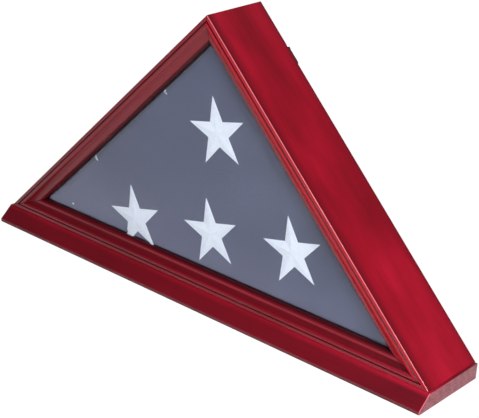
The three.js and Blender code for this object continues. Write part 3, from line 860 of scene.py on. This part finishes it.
def triangle_plate(inset, corner_cut, front, behind):
    """A flat triangle with clipped corners between two depths."""
    foot = level + inset
    half = half_span - inset * (1 + math.sqrt(2))
    run = corner_cut * math.sqrt(0.5)
    outline = [(-half + 2 * run, foot), (half - 2 * run, foot), (half - run, foot + run), (run, foot + half - run),
               (-run, foot + half - run), (-half + run, foot + run)]
    bm = bmesh.new()
    face = bm.faces.new([bm.verts.new((x, front, z)) for x, z in outline])
    return pushed_out(bm, face, (0, behind - front, 0))


panel = triangle_plate(PANEL_INSET, PANEL_CORNER, panel_low.y, panel_high.y)
soften(panel, PANEL_ARRIS)
made("hardboard_back", panel, hardboard(), "back_panel", ["back_panel"])

# ---- Turn buttons ----
# Four cast bars with round ends, each swinging on a pan-head screw, all left turned along the frame. Nickel plated.
BUTTON_LONG, BUTTON_HALF, BUTTON_CROWN = 26.0, 4.0, 0.9 * mm
SCREW_HEAD = 3.2
BUTTONS = {joint["child"][len("button_"):]: joint for joint in frame["joints"] if joint["type"] == "hinge"}


def button_bar(thick):
    """A bar with round ends along +X from its pivot, its top crowned by a wide soft bevel."""
    bm = bmesh.new()
    far = BUTTON_LONG - 2 * BUTTON_HALF
    arc = [(i / 12) * math.pi for i in range(13)]
    outline = [(far + BUTTON_HALF * math.sin(a), BUTTON_HALF * math.cos(a)) for a in arc]
    outline += [(-BUTTON_HALF * math.sin(a), -BUTTON_HALF * math.cos(a)) for a in arc]
    ring = [bm.verts.new((x * mm, 0, z * mm)) for x, z in outline]
    pushed_out(bm, bm.faces.new(ring), (0, thick, 0))
    rim = [e for e in bm.edges if all(v.co.y > thick / 2 for v in e.verts)]
    rounded(bm, rim, BUTTON_CROWN, 4)
    return bm


for name, joint in BUTTONS.items():
    low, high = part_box(f"turn_button_{name}")
    pivot = Vector(joint["pos_m"])
    arm = (low + high) / 2 - pivot
    arm.y = 0
    aim = math.atan2(-arm.z, arm.x)
    place = Matrix.Translation((pivot.x, low.y, pivot.z)) @ Matrix.Rotation(aim, 4, "Y")
    made(f"button_bar_{name}", button_bar(high.y - low.y), NICKEL, f"button_{name}",
         [f"turn_button_{name}"], place)
    screw_low, screw_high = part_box(f"button_screw_{name}")
    tall = (screw_high.y - screw_low.y) / mm
    screw = turned([(0, 0), (1.0, 2), (1.5, 4), (1.5, tall - 1.75), (SCREW_HEAD, tall - 1.75), (SCREW_HEAD, tall - 1.1),
                    *bend((SCREW_HEAD, tall - 1.1), (SCREW_HEAD * 0.9, tall), (0, tall), 7)])
    screw = with_recess(screw, tall, 3.6, 1.2)
    place = Matrix.Translation((pivot.x, screw_low.y, pivot.z)) @ Matrix.Rotation(-math.pi / 2, 4, "X")
    made(f"button_pivot_{name}", screw, NICKEL, "case", [f"button_screw_{name}"], place)

# ---- Floor and light ----
# A floor and surround that look white to the camera, in a room that is dark for the rest. The key light stands at the
# right, a second one fills from the front, a broad one lights the back and a strip hangs over the right side.
FLOOR_SIZE, FLOOR_SEEN = 4, 0.93
floor_mesh = bmesh.new()
bmesh.ops.create_grid(floor_mesh, x_segments=1, y_segments=1, size=FLOOR_SIZE)
floor_data = bpy.data.meshes.new("floor")
floor_mesh.to_mesh(floor_data)
floor_mesh.free()
floor = bpy.data.objects.new("floor", floor_data)
scene.collection.objects.link(floor)
white, floor_tree, floor_shader = new_material("floor_white")
floor_shader.inputs["Base Color"].default_value = (0.8, 0.8, 0.8, 1)
floor_shader.inputs["Roughness"].default_value = 0.9
ray = node(floor_tree, "ShaderNodeLightPath")
share = node(floor_tree, "ShaderNodeMath", {0: ray.outputs["Is Camera Ray"], 1: FLOOR_SEEN}, operation="MULTIPLY")
paper = node(floor_tree, "ShaderNodeEmission", {"Color": (1, 1, 1, 1), "Strength": 1.05})
mixed_floor = node(floor_tree, "ShaderNodeMixShader", {0: share.outputs[0]})
floor_tree.links.new(floor_shader.outputs["BSDF"], mixed_floor.inputs[1])
floor_tree.links.new(paper.outputs["Emission"], mixed_floor.inputs[2])
floor_tree.links.new(mixed_floor.outputs["Shader"], floor_tree.nodes["Material Output"].inputs["Surface"])
floor_data.materials.append(white)


def soft_light(name, place, aim, size, watts):
    """A rectangular area light, turned from its place to its aim."""
    light = bpy.data.lights.new(name, "AREA")
    light.shape, light.size, light.size_y = "RECTANGLE", *size
    light.energy = watts
    lamp = bpy.data.objects.new(name, light)
    lamp.location = place
    lamp.rotation_euler = (Vector(aim) - Vector(place)).to_track_quat("-Z", "Y").to_euler()
    scene.collection.objects.link(lamp)


soft_light("key_light", (1.75, -0.73, 0.86), (0.12, 0, 0.12), (0.45, 0.45), 20)
soft_light("front_light", (0.93, -1.58, 1.42), (0.05, 0, 0.1), (0.52, 0.52), 18)
soft_light("back_light", (-1.7, 2.1, 1.2), (-0.05, 0.09, 0.12), (0.9, 0.9), 42)
soft_light("top_strip", (0.75, -0.25, 1.05), (0.12, 0, 0.2), (0.3, 1.1), 4)

world = bpy.data.worlds.new("surround")
world.use_nodes = True
sky = world.node_tree
seen = node(sky, "ShaderNodeLightPath")
shade = node(sky, "ShaderNodeMix", {"Factor": seen.outputs["Is Camera Ray"]}, data_type="RGBA")
shade.inputs[6].default_value = (0.05, 0.052, 0.056, 1)
shade.inputs[7].default_value = (1, 1, 1, 1)
sky.links.new(shade.outputs[2], sky.nodes["Background"].inputs["Color"])
scene.world = world
